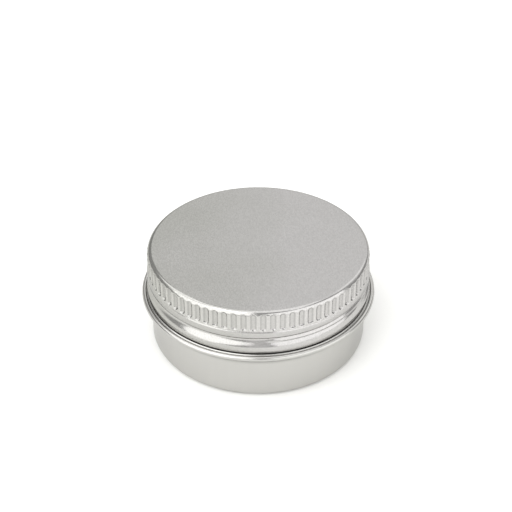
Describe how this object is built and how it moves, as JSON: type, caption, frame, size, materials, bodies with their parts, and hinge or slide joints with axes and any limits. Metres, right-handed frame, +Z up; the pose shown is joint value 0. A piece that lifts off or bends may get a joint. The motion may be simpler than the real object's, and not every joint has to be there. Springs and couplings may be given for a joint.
{
  "type": "aluminium screw tin",
  "caption": "Low round aluminium tin with a rolled bead, a threaded neck and a fluted screw lid that seals on a foam disc.",
  "frame": {"origin": "centre of the base's flat underside, on the surface that the tin stands on", "axes": "+Z up along the axis of the tin and its screw thread, -Y to the front, where the lid's thread begins"},
  "size_m": [0.052, 0.052, 0.023],
  "materials": {
    "base_aluminium": "satin drawn sheet, clear lacquered",
    "lid_aluminium": "fine satin drawn sheet, clear lacquered",
    "liner_foam": "closed-cell polyethylene foam"
  },
  "bodies": {
    "base": {"tin_base": "base_aluminium"},
    "liner": {"lid_liner": "liner_foam"},
    "lid": {"lid_shell": "lid_aluminium"}
  },
  "joints": [
    {"name": "lid_lift", "type": "slide", "parent": "base", "child": "liner", "axis": [0, 0, 1], "range_m": [0, 0.0112]},
    {"name": "lid_turn", "type": "hinge", "parent": "liner", "child": "lid", "pos_m": [0, 0, 0.02], "axis": [0, 0, 1], "range_deg": [0, 2520]}
  ],
  "couplings": [
    {"joint": "lid_lift", "follows": "lid_turn", "m_per_rad": 0.00025464}
  ]
}
